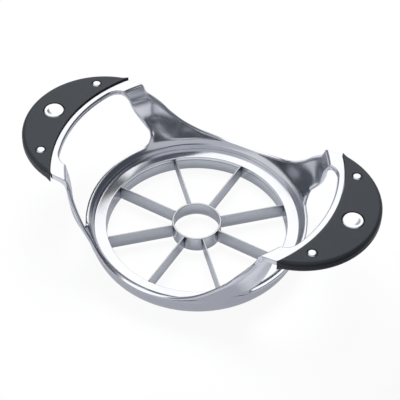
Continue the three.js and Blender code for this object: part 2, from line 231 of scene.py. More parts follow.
def edge_swell(azimuth, length, height):
    """How much thicker the wall is near its free edges."""
    fade = ease(13.0, 16.0, height) * (1 - ease(38.0, 46.0, height))
    if fade == 0:
        return 0.0
    across, along = (FREE_EDGES[:, 0] - azimuth) * SWELL_RADIUS, FREE_EDGES[:, 1] - length
    away = np.hypot(across, along).min()
    return EDGE_SWELL * fade * math.exp(-(away / SWELL_REACH) ** 2)


def azimuth_where(axis, across, length):
    """The azimuth at which the inner face, at that length, stands so far along X (0) or Y (1)."""
    azimuth = math.radians(40)
    for _ in range(12):
        point = on_casting(azimuth, length)
        share = min(1.0, across / math.hypot(point[0], point[1]))
        azimuth = math.acos(share) if axis == 0 else math.asin(share)
    return azimuth


def opening_edge():
    """Edge of the finger opening in four lines.

    They run along the rim, up the wall, round the shelf's corner and along the bar.
    """
    side = smooth_path([
        (24.9, RIM_HEIGHT), (28.86, RIM_HEIGHT), (32.8, 14.75), (36.0, 17.4), (37.9, 21.9),
        (37.1, 25.6), (33.9, 33.0), (32.0, 38.1), (30.8, 43.7), (NECK_HALF, WALL_TOP),
    ])
    floor = [(math.radians(a), by_height(RIM_HEIGHT)) for a in np.linspace(0, 26.5, 60)]
    wall = []
    for across, height in side:
        length = by_height(height)
        azimuth = azimuth_where(1, across, length)
        if azimuth > math.radians(27) or height > 15:
            wall.append((azimuth, length))
    centre_y = NECK_HALF - CORNER_ROUND
    centre = (math.sqrt((BAR_INNER - CORNER_ROUND) ** 2 - centre_y ** 2), centre_y)
    corner_end = math.atan2(centre[1], centre[0])
    corner = []
    for turn in np.linspace(math.radians(74), corner_end, 40):
        x = centre[0] + CORNER_ROUND * math.cos(turn)
        y = centre[1] + CORNER_ROUND * math.sin(turn)
        corner.append((math.atan2(y, x), by_radius(math.hypot(x, y))))
    bar = [(a, by_radius(BAR_INNER)) for a in np.linspace(corner_end, 0, 60)[1:]]
    return np.array(floor), np.array(wall), np.array(corner), np.array(bar)


def saddle_edge():
    """Edge of the saddle: from its lowest place up the wall, then round the shelf to the grip."""
    line = smooth_path([
        (0, SADDLE_LOWEST), (5.8, 14.55), (12.6, 15.4), (18.3, 17.0), (24.0, 19.2),
        (29.6, 22.3), (34.0, 25.7), (38.4, 29.7), (42.1, 33.8), (46.0, 38.9), (49.2, 43.6),
        (50.5, 46.6), (51.4, WALL_TOP),
    ])
    wall = []
    for across, height in line:
        length = by_height(height)
        wall.append((azimuth_where(0, across, length), length))
    shelf = [(math.radians(36.8), by_radius(TURNED_RADIUS))]
    for turn in np.linspace(math.radians(91.2), math.radians(80.1), 30):
        x = HANDLE_CENTRE + SHELF_EDGE * math.cos(turn)
        y = SHELF_EDGE * math.sin(turn)
        shelf.append((math.atan2(y, x), by_radius(min(BAR_OUTER, math.hypot(x, y)))))
    grip_line = [(a, by_radius(BAR_OUTER)) for a in np.linspace(shelf[-1][0], 0, 90)[1:]]
    return np.array(wall), np.array(shelf), np.array(grip_line)


def free_edges():
    """Edge places of the opening and the saddle on the wall, for the swell along them."""
    return np.concatenate([opening_edge()[1], saddle_edge()[0]])


FREE_EDGES = free_edges()


def spread(line, count):
    """count + 1 places at even distances along a line of (azimuth, length) samples."""
    radius = np.interp(line[:, 1], ALONG, INNER_LINE[:, 0])
    run = np.r_[0, np.cumsum(np.hypot(np.diff(line[:, 0]) * radius[1:], np.diff(line[:, 1])))]
    at = np.linspace(0, run[-1], count + 1)
    return np.c_[np.interp(at, run, line[:, 0]), np.interp(at, run, line[:, 1])]


def inset(stations, distances, side):
    """Stations moved into the metal, square to their line."""
    radius = np.interp(stations[:, 1], ALONG, INNER_LINE[:, 0])
    across = np.gradient(stations[:, 0]) * radius
    along = np.gradient(stations[:, 1])
    size = np.hypot(across, along)
    moved = stations.copy()
    moved[:, 0] += side * distances * along / size / radius
    moved[:, 1] -= side * distances * across / size
    return moved


# Columns and rows of one quarter of the casting
FLOOR_COLUMNS = 22
ARM_COLUMNS = 18
SADDLE_COLUMNS = 9
FOOT_ROWS = 3
WALL_ROWS = 32
CREASE_ROWS = 6
SHOULDER_ROWS = 6
CORNER_ROWS = 6
BAR_ROWS = 16
EDGE_STEPS = 4
CASTING_MERGE = 0.004

# Where the arm leaves the ring on the opening's and the saddle's edge, and where it meets the bar
OPENING_LEAVES = math.radians(38.2)
SADDLE_LEAVES = math.radians(75)
ARM_MEETS_BAR = math.radians(23)

# The ring's section from the step's top edge, down over the ledge, round the foot and up the flank
RING_SECTION = [
    (52.82, 12.56), (52.66, 12.42), (52.6, 12.2), (52.6, 11.6), (52.6, 10.4), (52.57, 10.05),
    (52.45, 9.86), (52.2, 9.79), (51.4, 9.75), (49.4, 9.65), (47.6, 9.56), (46.8, 9.52),
    (46.52, 9.46), (46.38, 9.33), (46.35, 9.1), (46.35, 8.4), (46.35, 7.8), (46.38, 7.65),
    (46.5, 7.6), (47.1, 7.6), (47.25, 7.45), (47.25, 4.0), (47.25, 0.3), (47.3, 0.08),
    (47.5, 0), (48.8, 0), (50.4, 0), (50.8, 0.06), (51.2, 0.3), (51.7, 0.75), (52.6, 1.65),
    (53.4, 2.8), (54.05, 4.2), (54.65, 5.9), (55.15, 7.6), (55.6, 9.3), (56.0, 11.0),
]


def lay_grid(bm, place, across, along):
    """A grid of faces whose corner (i, j) stands at place(i, j)."""
    made = bmesh.ops.create_grid(bm, x_segments=across, y_segments=along, size=1)
    for vert in made["verts"]:
        i = round((vert.co.x + 1) / 2 * across)
        j = round((vert.co.y + 1) / 2 * along)
        vert.co = place(i, j)


def rounded_corner(start, corner, end, steps):
    """Points of a round from start to end that would meet at the corner."""
    weight = math.sqrt(0.5)
    points = []
    for t in np.linspace(0, 1, steps + 1):
        a, b, c = (1 - t) ** 2, 2 * (1 - t) * t * weight, t * t
        points.append((a * start + b * corner + c * end) / (a + b + c))
    return points


def edge_round(start, edge, end, distance):
    """Points over the wall's edge, from its inner face to its outer face."""
    inner, outer = on_casting(*edge), on_casting(*edge, outer=True)
    wide = np.linalg.norm(outer - inner)
    near = inner + (outer - inner) * min(0.65, distance / wide)
    far = outer - (outer - inner) * min(0.3, distance / wide)
    over = rounded_corner(on_casting(*start), inner, near, EDGE_STEPS)
    back = rounded_corner(far, outer, on_casting(*end, outer=True), EDGE_STEPS)
    return over + back


def quarter_casting(bm):
    """A quarter of the casting, with one arm and half a bar, as five grids that meet."""
    floor, opening_wall, corner, bar = opening_edge()
    saddle_wall, shoulder, grip_line = saddle_edge()
    climb = np.r_[floor, opening_wall]
    leave = int(np.argmax(climb[:, 0] > OPENING_LEAVES))
    turn = int(np.argmax(saddle_wall[:, 0] < SADDLE_LEAVES))
    halfway = len(corner) * 9 // 20
    meet = int(np.argmax(grip_line[:, 0] < ARM_MEETS_BAR))

    def joined(parts):
        out = [parts[0]]
        for part in parts[1:]:
            out.append(part[1:])
        return np.concatenate(out)

    crease_inner = np.linspace(opening_wall[-1], corner[0], CREASE_ROWS + 1)
    crease_outer = np.linspace(saddle_wall[-1], shoulder[0], CREASE_ROWS + 1)
    opening = joined([
        spread(climb[:leave + 1], FLOOR_COLUMNS),
        spread(climb[leave:], WALL_ROWS), crease_inner,
        spread(corner[:halfway + 1], SHOULDER_ROWS), spread(corner[halfway:], CORNER_ROWS),
        spread(np.r_[corner[-1:], bar], BAR_ROWS),
    ])
    edge = np.r_[shoulder[-1:], grip_line]
    saddle = joined([
        spread(saddle_wall[:turn + 1], SADDLE_COLUMNS),
        spread(saddle_wall[turn:], WALL_ROWS), crease_outer,
        spread(shoulder, SHOULDER_ROWS), spread(edge[:meet + 1], CORNER_ROWS),
        spread(edge[meet:], BAR_ROWS),
    ])
    opening[0, 0], opening[-1, 0] = 0, 0
    saddle[0, 0], saddle[-1, 0] = math.pi / 2, 0

    # How far each edge is rounded
    crease = FLOOR_COLUMNS + WALL_ROWS
    opening_round = np.interp(
        np.arange(len(opening)), [crease - 6, crease + CREASE_ROWS + 4], [0.7, 1.2],
    )
    grip_row = SADDLE_COLUMNS + WALL_ROWS + CREASE_ROWS + SHOULDER_ROWS
    saddle_round = np.interp(
        np.arange(len(saddle)),
        [0, SADDLE_COLUMNS, SADDLE_COLUMNS + 12, grip_row - 6, grip_row, grip_row + 1],
        [0.22, 0.6, 0.8, 0.6, 0.3, 0.1],
    )

    # How far the edge stands past the line where its inner face starts to round over
    opening_draft = np.interp(
        np.interp(opening[:, 1], ALONG, INNER_LINE[:, 1]),
        [RIM_HEIGHT, 15.5, 19, 24, 30, 36, 44, 50], [0, 0.9, 2.2, 2.4, 1.3, 0.5, 0.2, 0],
    )
    saddle_draft = np.interp(
        np.interp(saddle[:, 1], ALONG, INNER_LINE[:, 1]),
        [SADDLE_LOWEST, 19, 21, 26.7, 30.8, 35, 45, 50, SHELF_HEIGHT],
        [0, 0, 0.4, 1.0, 1.4, 2.0, 1.9, 0.9, 0],
    )

    def moved_in(distance, line, side, first, last):
        moved = inset(line, distance, side)
        moved[0, 0], moved[-1, 0] = first, last
        return moved

    opening_start = np.maximum(0.15, opening_round - opening_draft)
    saddle_start = np.maximum(0.15, saddle_round - saddle_draft)
    opening_in, opening_far, opening_out = [
        moved_in(d, opening, 1, 0, 0)
        for d in (opening_start, -opening_draft, opening_round - opening_draft)
    ]
    saddle_in, saddle_far, saddle_out = [
        moved_in(d, saddle, -1, math.pi / 2, 0)
        for d in (saddle_start, -saddle_draft, saddle_round - saddle_draft)
    ]

    # Columns of the ring under the opening, the arm and the saddle
    def ring_tops(near, far):
        arm = np.linspace(near[FLOOR_COLUMNS], far[SADDLE_COLUMNS], ARM_COLUMNS + 1)
        return joined([near[:FLOOR_COLUMNS + 1], arm, far[:SADDLE_COLUMNS + 1][::-1]])

    feet = np.linspace(opening[FLOOR_COLUMNS, 0], saddle[SADDLE_COLUMNS, 0], ARM_COLUMNS + 1)
    tops, outer_tops = ring_tops(opening_in, saddle_in), ring_tops(opening_out, saddle_out)
    foot_azimuth = np.concatenate([
        opening[:FLOOR_COLUMNS, 0], feet, saddle[:SADDLE_COLUMNS, 0][::-1],
    ])
    columns = len(foot_azimuth) - 1

    def wall_point(i, k, outer):
        share = k / FOOT_ROWS
        top = outer_tops[i] if outer else tops[i]
        azimuth = foot_azimuth[i] + (top[0] - foot_azimuth[i]) * share
        return on_casting(azimuth, top[1] * share, outer)

    ring_rows = len(RING_SECTION)

    def ring_point(i, j):
        if j <= FOOT_ROWS:
            return wall_point(i, FOOT_ROWS - j, False)
        if j <= FOOT_ROWS + ring_rows:
            radius, height = RING_SECTION[j - FOOT_ROWS - 1]
            a = foot_azimuth[i]
            return radius * math.cos(a), radius * math.sin(a), height
        return wall_point(i, j - FOOT_ROWS - ring_rows - 1, True)

    lay_grid(bm, ring_point, columns, 2 * FOOT_ROWS + ring_rows + 1)
    opening_over = [
        edge_round(*row)
        for row in zip(opening_in, opening_far, opening_out, opening_start + opening_draft)
    ]
    saddle_over = [
        edge_round(*row)
        for row in zip(saddle_in, saddle_far, saddle_out, saddle_start + saddle_draft)
    ]
    over = 2 * EDGE_STEPS + 1
    lay_grid(bm, lambda i, j: opening_over[i][j], len(opening) - 1, over)
    lay_grid(bm, lambda i, j: saddle_over[i][j], len(saddle) - 1, over)

    rows = len(opening) - 1 - FLOOR_COLUMNS

    def arm_point(i, j, outer):
        near, far = (opening_out, saddle_out) if outer else (opening_in, saddle_in)
        a, b = near[FLOOR_COLUMNS + j], far[SADDLE_COLUMNS + j]
        return on_casting(*(a + (b - a) * i / ARM_COLUMNS), outer)

    lay_grid(bm, lambda i, j: arm_point(i, j, False), ARM_COLUMNS, rows)
    lay_grid(bm, lambda i, j: arm_point(i, j, True), ARM_COLUMNS, rows)


def casting_mesh():
    """The whole casting, mirrored from its quarter."""
    bm = bmesh.new()
    quarter_casting(bm)
    bmesh.ops.remove_doubles(bm, verts=bm.verts, dist=CASTING_MERGE)
    for axis in "XY":
        bmesh.ops.mirror(
            bm, geom=bm.verts[:] + bm.edges[:] + bm.faces[:], axis=axis, merge_dist=CASTING_MERGE,
        )
    bmesh.ops.remove_doubles(bm, verts=bm.verts, dist=CASTING_MERGE)
    bmesh.ops.recalc_face_normals(bm, faces=bm.faces)
    return bm


def half_moon(bm, inner_radius, edge_radius, section, rows, reach):
    """A crescent between a circle about the ring's middle and one about the handle's centre."""
    points = len(section(1.0))

    def place(i, j):
        turn = reach * (2 * j / rows - 1)
        c, s = math.cos(turn), math.sin(turn)
        near = math.sqrt(inner_radius ** 2 - (HANDLE_CENTRE * s) ** 2) - HANDLE_CENTRE * c
        out, height = section(edge_radius - near)[i % points]
        return HANDLE_CENTRE + (near + out) * c, (near + out) * s, height

    lay_grid(bm, place, points, rows)
    bmesh.ops.remove_doubles(bm, verts=bm.verts, dist=0.002)
    ends = [e for e in bm.edges if e.is_boundary]
    bmesh.ops.holes_fill(bm, edges=ends, sides=0)
    bmesh.ops.recalc_face_normals(bm, faces=bm.faces)


def arc(centre, radius, start, end, steps):
    """Places on an arc, from one angle in degrees to another."""
    return [
        (centre[0] + radius * math.cos(a), centre[1] + radius * math.sin(a))
        for a in np.radians(np.linspace(start, end, steps + 1))
    ]


def grip_section(is_upper):
    """Section of a grip's shell, from the bar outwards, at a given width."""
    def section(width):
        small, large = min(0.35, width / 3), min(2.0, width * 0.6)
        face = GRIP_TOP if is_upper else GRIP_BOTTOM
        joint = PARTING + (PARTING_GAP if is_upper else -PARTING_GAP)
        up = 1 if is_upper else -1
        nick = min(0.15, width / 6)
        rim = [(small * (1 - math.cos(a)), face - up * small * (1 - math.sin(a)))
               for a in np.linspace(0, math.pi / 2, 4)]
        flat = [(small + (width - large - small) * t, face) for t in (0.1, 0.5, 0.9)]
        side = [(width - large * (1 - math.sin(a)), face - up * large * (1 - math.cos(a)))
                for a in np.linspace(0, math.pi / 2, 9)]
        return (
            [(nick, joint), (0, joint + up * nick)] + rim + flat + side
            + [(width, joint + up * nick), (width - nick, joint), (width / 2, joint)]
        )
    return section


def shaft(bm, radius, low, high, x, y, steps):
    """An upright cylinder between two heights."""
    middle = Matrix.Translation((x, y, (low + high) / 2))
    bmesh.ops.create_cone(
        bm, cap_ends=True, segments=steps, radius1=radius, radius2=radius,
        depth=high - low, matrix=middle,
    )


def block(bm, low, high):
    """A box between two corners."""
    low, high = Vector(low), Vector(high)
    size = Matrix.Diagonal((*(high - low), 1))
    bmesh.ops.create_cube(bm, size=1, matrix=Matrix.Translation((low + high) / 2) @ size)


def spun(bm, section, steps, centre=(0, 0), closed=True):
    """A section of (radius, height) points turned about an upright axis."""
    verts = [bm.verts.new((centre[0] + r, centre[1], z)) for r, z in section]
    edges = [bm.edges.new(pair) for pair in zip(verts, verts[1:])]
    if closed:
        edges.append(bm.edges.new((verts[-1], verts[0])))
    bmesh.ops.spin(
        bm, geom=verts + edges, cent=(*centre, 0), axis=(0, 0, 1), dvec=(0, 0, 0),
        angle=2 * math.pi, steps=steps, use_merge=True, use_duplicate=False,
    )
    bmesh.ops.remove_doubles(bm, verts=bm.verts, dist=0.002)
    bmesh.ops.recalc_face_normals(bm, faces=bm.faces)


def finished(name, bm, *nodes, turn=0.0, slot=None, smooth=30):
    """A piece made of a mesh in millimetres, turned about the ring's middle.

    It takes the place of the CAD nodes named.
    """
    bmesh.ops.transform(
        bm, matrix=Matrix.Rotation(turn, 4, "Z") @ Matrix.Scale(MM, 4), verts=bm.verts,
    )
    mesh = bpy.data.meshes.new(name)
    bm.to_mesh(mesh)
    bm.free()
    mesh.polygons.foreach_set("use_smooth", [True] * len(mesh.polygons))
    if smooth:
        mesh.set_sharp_from_angle(angle=math.radians(smooth))
    piece = bpy.data.objects.new(name, mesh)
    bpy.context.scene.collection.objects.link(piece)
    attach(piece, "root")
    if nodes:
        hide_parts(*nodes)
    return piece


def combined(bm, other, how):
    """bm joined with, or cut by, another mesh; both are used up."""
    made = []
    for part in (bm, other):
        mesh = bpy.data.meshes.new("part")
        part.to_mesh(mesh)
        part.free()
        made.append(bpy.data.objects.new("part", mesh))
        bpy.context.scene.collection.objects.link(made[-1])
    modifier = made[0].modifiers.new("join", "BOOLEAN")
    modifier.operation, modifier.solver, modifier.object = how, "EXACT", made[1]
    modifier.use_self = how == "UNION"
    seen = made[0].evaluated_get(bpy.context.evaluated_depsgraph_get())
    result = bmesh.new()
    result.from_mesh(seen.to_mesh())
    for part in made:
        mesh = part.data
        bpy.data.objects.remove(part)
        bpy.data.meshes.remove(mesh)
    bmesh.ops.remove_doubles(result, verts=result.verts, dist=0.001)
    return result


# Rivets: node, X and Y place, and the radii of the head and the shank
RIVETS = [
    ("rivet_large_{}", 81.801, 0.0, 5.25, 2.6),
    ("rivet_small_{}_1", 72.8, 27.5, 2.3, 1.25),
    ("rivet_small_{}_2", 72.8, -27.5, 2.3, 1.25),
]
SEAT_DEPTH = 1.3
SEAT_GAP = 0.3
HEAD_SUNK = 0.15
HEAD_CROWN = 0.41
HEAD_THICKNESS = 1.0


def plate_section(low, high):
    """Section of a flat plate between two heights, at a given width."""
    return lambda width: [(0, low), (0, high), (width, high), (width, low)]


def grip_mesh(is_upper):
    """One shell of a grip, with a pocket for the tang and seats for the rivets."""
    bm = bmesh.new()
    half_moon(bm, GRIP_INNER, GRIP_EDGE, grip_section(is_upper), 112, GRIP_REACH)
    cutter = bmesh.new()
    for _, x, y, head, shank in RIVETS:
        if is_upper:
            shaft(cutter, head + SEAT_GAP, GRIP_TOP - SEAT_DEPTH, GRIP_TOP + 1, x, y, 64)
            shaft(cutter, shank + FIT, PARTING - 1, GRIP_TOP - SEAT_DEPTH + 0.2, x, y, 32)
        else:
            shaft(cutter, head + SEAT_GAP, GRIP_BOTTOM - 1, GRIP_BOTTOM + SEAT_DEPTH, x, y, 64)
            shaft(cutter, shank + FIT, GRIP_BOTTOM + SEAT_DEPTH - 0.2, PARTING + 1, x, y, 32)
    pocket = bmesh.new()
    half_moon(
        pocket, GRIP_INNER - 2, TANG_EDGE + FIT,
        plate_section(TANG_LOW - FIT, TANG_HIGH + FIT), 64, TANG_REACH,
    )
    return combined(combined(bm, pocket, "DIFFERENCE"), cutter, "DIFFERENCE")


def tang_mesh():
    """The flat tang inside a grip, with holes for the rivets."""
    bm = bmesh.new()
    half_moon(
        bm, BAR_OUTER - 1, TANG_EDGE, plate_section(TANG_LOW, TANG_HIGH), 64, TANG_REACH,
    )
    cutter = bmesh.new()
    for _, x, y, _, shank in RIVETS:
        shaft(cutter, shank + FIT, TANG_LOW - 1, TANG_HIGH + 1, x, y, 32)
    return combined(bm, cutter, "DIFFERENCE")


def rivet_mesh(x, y, head, shank):
    """A rivet with a crowned, rounded head on either face of the grip."""
    crown = smooth_between([
        (0, HEAD_CROWN), (head * 0.5, HEAD_CROWN * 0.86), (head * 0.86, HEAD_CROWN * 0.46),
        (head - 0.12, 0.0), (head, -0.2),
    ])
    out = [*np.linspace(0, head - 0.12, 14), head - 0.05, head]
    face = GRIP_TOP - HEAD_SUNK
    top = [(r, face + float(crown(r))) for r in out]
    under = face - HEAD_THICKNESS
    half = top + [(head, under + 0.1), (head - 0.1, under), (shank, under)]
    other = [(r, GRIP_TOP + GRIP_BOTTOM - z) for r, z in reversed(half)]
    bm = bmesh.new()
    spun(bm, half + other, 72, (x, y), closed=False)
    return bm


def blade_mesh():
    """A straight blade along +X, ground to an edge below, with a tab at each end."""
    inner, outer = CORE_OUTER + FIT, CLEAR_RADIUS - FIT
    bm = bmesh.new()
    outline = [
        (-EDGE_HALF, BLADE_FOOT), (EDGE_HALF, BLADE_FOOT), (BLADE_HALF, GROUND_TOP),
        (BLADE_HALF, BLADE_TOP), (-BLADE_HALF, BLADE_TOP), (-BLADE_HALF, GROUND_TOP),
    ]
    face = bm.faces.new([bm.verts.new((inner, y, z)) for y, z in outline])
    made = bmesh.ops.extrude_face_region(bm, geom=[face])
    moved = [v for v in made["geom"] if isinstance(v, bmesh.types.BMVert)]
    bmesh.ops.translate(bm, vec=(outer - inner, 0, 0), verts=moved)
    bmesh.ops.recalc_face_normals(bm, faces=bm.faces)
    tabs = bmesh.new()
    block(tabs, (CORE_OUTER - GROOVE_DEPTH + FIT, -BLADE_HALF, TAB_LOW),
          (BAND_OUTER, BLADE_HALF, TAB_HIGH))
    bm = combined(bm, tabs, "UNION")
    top = [e for e in bm.edges if min(v.co.z for v in e.verts) > BLADE_TOP - 0.01]
    bmesh.ops.bevel(
        bm, geom=top, offset=BLADE_TOP_ROUND, offset_type="OFFSET", segments=3, profile=0.5,
        affect="EDGES", material=-1,
    )
    return bm


def slots(reach_in, reach_out):
    """Cutters for the blades' tabs, from one radius to another."""
    low, high = TAB_LOW - FIT, TAB_HIGH + FIT
    bm = bmesh.new()
    for k in range(BLADE_COUNT):
        part = bmesh.new()
        block(part, (reach_in, -BLADE_HALF - FIT, low), (reach_out, BLADE_HALF + FIT, high))
        bmesh.ops.rotate(
            part, cent=(0, 0, 0), verts=part.verts,
            matrix=Matrix.Rotation(BLADE_TURN + k * math.tau / BLADE_COUNT, 3, "Z"),
        )
        mesh = bpy.data.meshes.new("slot")
        part.to_mesh(mesh)
        part.free()
        bm.from_mesh(mesh)
        bpy.data.meshes.remove(mesh)
    return bm


def core_mesh():
    """The core cutter: a thin ring, ground below, with a groove for each blade's tab."""
    bm = bmesh.new()
    round_height = BLADE_TOP - CORE_TOP_ROUND
    section = (
        [(CORE_OUTER - EDGE_HALF, BLADE_FOOT), (CORE_OUTER, BLADE_FOOT + EDGE_HALF),
         (CORE_OUTER, 5.0)]
        + arc((CORE_OUTER - CORE_TOP_ROUND, round_height), CORE_TOP_ROUND, 0, 90, 4)
        + arc((CORE_INNER + CORE_TOP_ROUND, round_height), CORE_TOP_ROUND, 90, 180, 4)
        + [(CORE_INNER, 6.5), (CORE_INNER, GROUND_TOP)]
    )
    spun(bm, section, 128)
    return combined(bm, slots(CORE_OUTER - GROOVE_DEPTH, CORE_OUTER + 2), "DIFFERENCE")


def band_mesh():
    """The thin band in the ring that the blades hang in, with a slot for each."""
    bm = bmesh.new()
    spun(bm, [
        (CLEAR_RADIUS + 0.1, BLADE_FOOT), (BAND_OUTER - 0.1, BLADE_FOOT),
        (BAND_OUTER, BLADE_FOOT + 0.1), (BAND_OUTER, BAND_TOP), (CLEAR_RADIUS, BAND_TOP),
        (CLEAR_RADIUS, BLADE_FOOT + 0.1),
    ], 192)
    return combined(bm, slots(CLEAR_RADIUS - 2, BAND_OUTER + 2), "DIFFERENCE")


# The casting, with a tang in each grip
casting = finished("casting", casting_mesh(), "frame", slot="casting", smooth=0)
smoother = casting.modifiers.new("smooth", "SUBSURF")
smoother.levels = smoother.render_levels = 1
tangs = []
for side, turn in (("right", 0.0), ("left", math.pi)):
    tangs.append(finished(f"tang_{side}", tang_mesh(), "frame", turn=turn, slot="casting"))

# The cutting set
blades = []
for k in range(BLADE_COUNT):
    turn = BLADE_TURN + k * math.tau / BLADE_COUNT
    blades.append(finished(
        f"cutting_blade_{k + 1}", blade_mesh(), f"blade_{k + 1}", turn=turn, slot="blade_steel",
    ))
core = finished("core_cutter", core_mesh(), "core_ring", slot="blade_steel")
band = finished("blade_seat_band", band_mesh(), "blade_band", slot="blade_steel")

# The grips and their rivets
grips, rivets = [], []
for side, turn in (("right", 0.0), ("left", math.pi)):
    for level, is_upper in (("upper", True), ("lower", False)):
        grips.append(finished(
            f"{level}_grip_{side}", grip_mesh(is_upper), f"grip_{level}_{side}",
            turn=turn, slot="grip",
        ))
    for label, x, y, head, shank in RIVETS:
        node = label.format(side)
        rivets.append(finished(
            node.replace("rivet", "stud"), rivet_mesh(x, y, head, shank), node,
            turn=turn, slot="rivet",
        ))


# Finishes

def finish_material(name, colour, metallic, roughness):
    """A material with its shader set to plain values, ready for its surface detail."""
    material = bpy.data.materials.new(name)
    material.use_nodes = True
    shader = material.node_tree.nodes["Principled BSDF"]
    shader.inputs["Base Color"].default_value = (*colour, 1)
    shader.inputs["Metallic"].default_value = metallic
    shader.inputs["Roughness"].default_value = roughness
    return material, material.node_tree, shader


def add(tree, kind, settings=(), **inputs):
    """A node with its settings and its inputs.

    An input is named by its label or by _ and its number, and is a value or a node's output.
    """
    node = tree.nodes.new(kind)
    for key, value in dict(settings).items():
        setattr(node, key, value)
    for key, value in inputs.items():
        label = int(key[1:]) if key[1:].isdigit() else key.replace("_", " ")
        socket = node.inputs[label]
        if isinstance(value, bpy.types.NodeSocket):
            tree.links.new(value, socket)
        else:
            socket.default_value = value
    return node


def effect_group(name, inputs, outputs):
    """An empty shader group with named sockets."""
    tree = bpy.data.node_groups.new(name, "ShaderNodeTree")
    for label, kind, value in inputs:
        socket = tree.interface.new_socket(label, in_out="INPUT", socket_type=kind)
        socket.default_value = value
    for label, kind in outputs:
        tree.interface.new_socket(label, in_out="OUTPUT", socket_type=kind)
    return tree, tree.nodes.new("NodeGroupInput"), tree.nodes.new("NodeGroupOutput")


FLOAT, VECTOR = "NodeSocketFloat", "NodeSocketVector"
SCRATCH_DEPTH = 0.02


def handling_group():
    """Smudges, hairline scratches and a faint ripple, as left by polishing and handling."""
    tree, given, made = effect_group(
        "handling_marks",
        [("Vector", VECTOR, (0, 0, 0)), ("Roughness", FLOAT, 0.05), ("Smudge", FLOAT, 0.05),
         ("Scratch", FLOAT, 0.04), ("Ripple", FLOAT, 0.2)],
        [("Roughness", FLOAT), ("Height", FLOAT), ("Smudge", FLOAT)],
    )
    place = given.outputs["Vector"]
    smudge = add(tree, "ShaderNodeTexNoise", Vector=place, Scale=42.0, Detail=3.0, Roughness=0.55)
    soft = add(tree, "ShaderNodeMapRange", Value=smudge.outputs["Fac"], From_Min=0.42,
               From_Max=0.72)
    turned = add(tree, "ShaderNodeMapping", Vector=place, Rotation=(0.4, 0.3, 0.7),
                 Scale=(60, 2200, 2200))
    hair = add(tree, "ShaderNodeTexNoise", Vector=turned.outputs[0], Scale=1.0, Detail=1.0)
    thin = add(tree, "ShaderNodeMapRange", Value=hair.outputs["Fac"], From_Min=0.66, From_Max=0.78)
    smudged = add(tree, "ShaderNodeMath", {"operation": "MULTIPLY_ADD"}, _0=soft.outputs[0],
                  _1=given.outputs["Smudge"], _2=given.outputs["Roughness"])
    rough = add(tree, "ShaderNodeMath", {"operation": "MULTIPLY_ADD"}, _0=thin.outputs[0],
                _1=given.outputs["Scratch"], _2=smudged.outputs[0])
    ripple = add(tree, "ShaderNodeTexNoise", Vector=place, Scale=95.0, Detail=1.0)
    waves = add(tree, "ShaderNodeMath", {"operation": "MULTIPLY"}, _0=ripple.outputs["Fac"],
                _1=given.outputs["Ripple"])
    scored = add(tree, "ShaderNodeMath", {"operation": "MULTIPLY"}, _0=thin.outputs[0],
                 _1=-SCRATCH_DEPTH)
    height = add(tree, "ShaderNodeMath", {"operation": "ADD"}, _0=waves.outputs[0],
                 _1=scored.outputs[0])
    tree.links.new(rough.outputs[0], made.inputs["Roughness"])
    tree.links.new(height.outputs[0], made.inputs["Height"])
    tree.links.new(soft.outputs[0], made.inputs["Smudge"])
    return tree


def brushed_group():
    """Fine grinding lines, whose run and density the given vector's scales set."""
    tree, given, made = effect_group(
        "brushed_lines",
        [("Vector", VECTOR, (0, 0, 0)), ("Roughness", FLOAT, 0.25), ("Spread", FLOAT, 0.15)],
        [("Roughness", FLOAT), ("Height", FLOAT), ("Tone", FLOAT)],
    )
    lines = add(tree, "ShaderNodeTexNoise", Vector=given.outputs["Vector"], Scale=1.0, Detail=4.0,
                Roughness=0.65)
    broad = add(tree, "ShaderNodeTexNoise", Vector=given.outputs["Vector"], Scale=0.12, Detail=1.0)
    both = add(tree, "ShaderNodeMath", {"operation": "MULTIPLY_ADD"}, _0=broad.outputs["Fac"],
               _1=0.5, _2=lines.outputs["Fac"])
    rough = add(tree, "ShaderNodeMath", {"operation": "MULTIPLY_ADD"}, _0=lines.outputs["Fac"],
                _1=given.outputs["Spread"], _2=given.outputs["Roughness"])
    tree.links.new(rough.outputs[0], made.inputs["Roughness"])
    tree.links.new(lines.outputs["Fac"], made.inputs["Height"])
    tree.links.new(both.outputs[0], made.inputs["Tone"])
    return tree


HANDLING = handling_group()
BRUSHED = brushed_group()


def polar(tree, place, along, around, upward):
    """Coordinates that run outwards, round the ring's middle and upwards, each at its own scale."""
    parts = add(tree, "ShaderNodeSeparateXYZ", _0=place)
    flat = add(tree, "ShaderNodeCombineXYZ", _0=parts.outputs[0], _1=parts.outputs[1])
    radius = add(tree, "ShaderNodeVectorMath", {"operation": "LENGTH"}, _0=flat.outputs[0])
    angle = add(tree, "ShaderNodeMath", {"operation": "ARCTAN2"}, _0=parts.outputs[1],
                _1=parts.outputs[0])
    scaled = [
        add(tree, "ShaderNodeMath", {"operation": "MULTIPLY"}, _0=source, _1=scale).outputs[0]
        for source, scale in (
            (radius.outputs["Value"], along), (angle.outputs[0], around),
            (parts.outputs[2], upward),
        )
    ]
    return add(tree, "ShaderNodeCombineXYZ", _0=scaled[0], _1=scaled[1], _2=scaled[2]).outputs[0]


def bumped(tree, shader, height, distance, strength=1.0):
    """Surface detail of a given depth in metres."""
    bump = add(tree, "ShaderNodeBump", Height=height, Distance=distance, Strength=strength)
    tree.links.new(bump.outputs[0], shader.inputs["Normal"])


def tinted(tree, shader, factor, low, high):
    """Base colour between two colours."""
    mix = add(tree, "ShaderNodeMix", {"data_type": "RGBA"}, _0=factor, _6=(*low, 1), _7=(*high, 1))
    tree.links.new(mix.outputs[2], shader.inputs["Base Color"])


